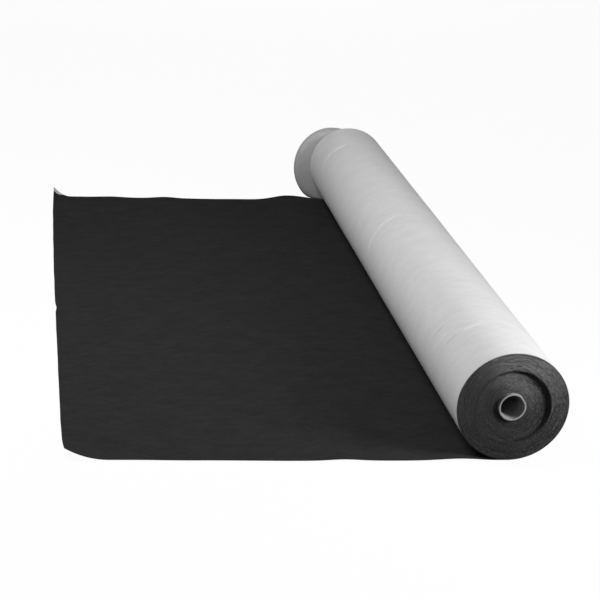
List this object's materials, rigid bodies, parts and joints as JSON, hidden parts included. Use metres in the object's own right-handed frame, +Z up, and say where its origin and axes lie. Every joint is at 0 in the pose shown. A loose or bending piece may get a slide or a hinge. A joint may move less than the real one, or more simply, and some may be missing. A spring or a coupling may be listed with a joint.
{
  "type": "roll of roofing felt",
  "caption": "Wound roll of roofing underlay felt on a thin core tube, lying on its side with the free end of the sheet unrolled flat, pale side out and dark side up.",
  "frame": {"origin": "middle of the bottom of the bounding box, on the floor", "axes": "+Z up; +Y along the roll's axis, away from the end that shows the core in the picture; the unrolled end runs towards -X"},
  "size_m": [0.7674, 1.532, 0.1749],
  "materials": {
    "felt_pale": "matte non-woven, pale outer side",
    "felt_dark": "matte non-woven, dark inner side",
    "core_board": "matte pale grey board"
  },
  "bodies": {
    "root": {"felt_sheet": "felt_pale", "core_tube": "core_board"}
  },
  "joints": []
}
